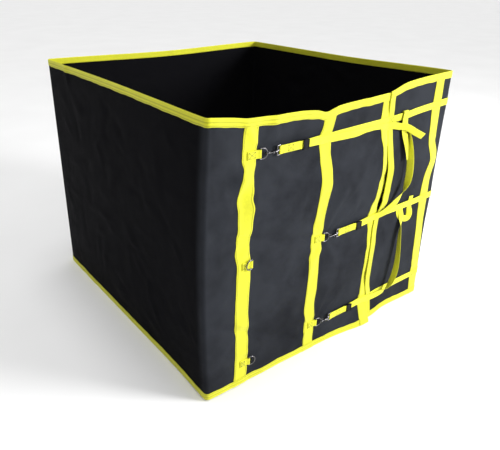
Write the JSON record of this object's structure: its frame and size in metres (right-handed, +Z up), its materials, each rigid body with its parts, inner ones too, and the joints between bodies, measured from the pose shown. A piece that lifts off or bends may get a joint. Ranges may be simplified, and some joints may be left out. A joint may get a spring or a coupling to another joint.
{
  "type": "pallet load wrap",
  "caption": "Reusable fabric wrap for a palletised load: black coated mesh with yellow webbing, closed edge to edge by straps with snap hooks, D-rings and ladder locks.",
  "frame": {"origin": "centre of the bounding box's bottom face, at the level of the bottom hem", "axes": "+Z up; the strapped face looks towards -Y; +X runs along the strapped face from the ring side to the flap side"},
  "size_m": [1.1376, 1.219, 0.965],
  "materials": {
    "mesh": "black PVC-coated polyester mesh, satin",
    "webbing": "bright yellow polyester webbing, ribbed weave",
    "nickel": "nickel-plated steel, bright",
    "spring_steel": "bare spring wire",
    "black_plastic": "black moulded acetal, fine satin"
  },
  "bodies": {
    "wrap": {"mesh_front": "mesh", "mesh_left": "mesh", "mesh_back": "mesh", "mesh_right": "mesh", "mesh_flap": "mesh", "top_binding_front": "webbing", "top_binding_left": "webbing", "top_binding_back": "webbing", "top_binding_right": "webbing", "top_binding_flap": "webbing", "hem_front": "webbing", "hem_left": "webbing", "hem_back": "webbing", "hem_right": "webbing", "hem_flap": "webbing", "flap_edge_binding": "webbing", "upright_1": "webbing", "upright_2": "webbing", "upright_3": "webbing", "upright_4": "webbing", "ring_tab_1": "webbing", "ring_tab_2": "webbing", "ring_tab_3": "webbing", "ring_tab_4": "webbing", "ring_tab_5": "webbing", "hook_eye_1": "nickel", "hook_lead_1": "webbing", "strap_1": "webbing", "hook_eye_2": "nickel", "hook_lead_2": "webbing", "strap_2": "webbing", "hook_eye_3": "nickel", "hook_lead_3": "webbing", "strap_3": "webbing"},
    "ring_1": {"d_ring_1": "nickel"},
    "ring_2": {"d_ring_2": "nickel"},
    "ring_3": {"d_ring_3": "nickel"},
    "ring_4": {"d_ring_4": "nickel"},
    "ring_5": {"d_ring_5": "nickel"},
    "hook_1": {"hook_body_1": "nickel", "hook_spring_1": "spring_steel"},
    "bolt_1": {"hook_bolt_1": "nickel"},
    "lock_1": {"ladder_lock_1": "black_plastic"},
    "hook_2": {"hook_body_2": "nickel", "hook_spring_2": "spring_steel"},
    "bolt_2": {"hook_bolt_2": "nickel"},
    "lock_2": {"ladder_lock_2": "black_plastic"},
    "hook_3": {"hook_body_3": "nickel", "hook_spring_3": "spring_steel"},
    "bolt_3": {"hook_bolt_3": "nickel"},
    "lock_3": {"ladder_lock_3": "black_plastic"}
  },
  "joints": [
    {"name": "ring_1_swing", "type": "hinge", "parent": "wrap", "child": "ring_1", "pos_m": [-0.384, -0.572, 0.829], "axis": [0, 0, 1], "range_deg": [-1.5, 1.5]},
    {"name": "ring_2_swing", "type": "hinge", "parent": "wrap", "child": "ring_2", "pos_m": [-0.082, -0.572, 0.468], "axis": [0, 0, 1], "range_deg": [-1.5, 1.5]},
    {"name": "ring_3_swing", "type": "hinge", "parent": "wrap", "child": "ring_3", "pos_m": [-0.082, -0.572, 0.11], "axis": [0, 0, 1], "range_deg": [-1.5, 1.5]},
    {"name": "ring_4_swing", "type": "hinge", "parent": "wrap", "child": "ring_4", "pos_m": [-0.403, -0.572, 0.471], "axis": [0, 0, 1], "range_deg": [0, 165]},
    {"name": "ring_5_swing", "type": "hinge", "parent": "wrap", "child": "ring_5", "pos_m": [-0.403, -0.572, 0.09], "axis": [0, 0, 1], "range_deg": [-161, 7]},
    {"name": "hook_1_swivel", "type": "hinge", "parent": "wrap", "child": "hook_1", "pos_m": [-0.32126, -0.576, 0.829], "axis": [1, 0, 0], "range_deg": [-20, 20]},
    {"name": "bolt_1_slide", "type": "slide", "parent": "hook_1", "child": "bolt_1", "axis": [1, 0, 0], "range_m": [0, 0.007], "stiffness_N_per_m": 300, "springref_m": -0.003, "deforming": ["hook_spring_1"]},
    {"name": "lock_1_lift", "type": "hinge", "parent": "wrap", "child": "lock_1", "pos_m": [-0.22526, -0.576, 0.829], "axis": [0, 0, -1], "range_deg": [0, 17], "deforming": ["strap_1"]},
    {"name": "hook_2_swivel", "type": "hinge", "parent": "wrap", "child": "hook_2", "pos_m": [-0.01926, -0.576, 0.468], "axis": [1, 0, 0], "range_deg": [-20, 20]},
    {"name": "bolt_2_slide", "type": "slide", "parent": "hook_2", "child": "bolt_2", "axis": [1, 0, 0], "range_m": [0, 0.007], "stiffness_N_per_m": 300, "springref_m": -0.003, "deforming": ["hook_spring_2"]},
    {"name": "lock_2_lift", "type": "hinge", "parent": "wrap", "child": "lock_2", "pos_m": [0.07674, -0.576, 0.468], "axis": [0, 0, -1], "range_deg": [0, 17], "deforming": ["strap_2"]},
    {"name": "hook_3_swivel", "type": "hinge", "parent": "wrap", "child": "hook_3", "pos_m": [-0.01926, -0.576, 0.11], "axis": [1, 0, 0], "range_deg": [-20, 20]},
    {"name": "bolt_3_slide", "type": "slide", "parent": "hook_3", "child": "bolt_3", "axis": [1, 0, 0], "range_m": [0, 0.007], "stiffness_N_per_m": 300, "springref_m": -0.003, "deforming": ["hook_spring_3"]},
    {"name": "lock_3_lift", "type": "hinge", "parent": "wrap", "child": "lock_3", "pos_m": [0.07674, -0.576, 0.11], "axis": [0, 0, -1], "range_deg": [0, 17], "deforming": ["strap_3"]}
  ]
}
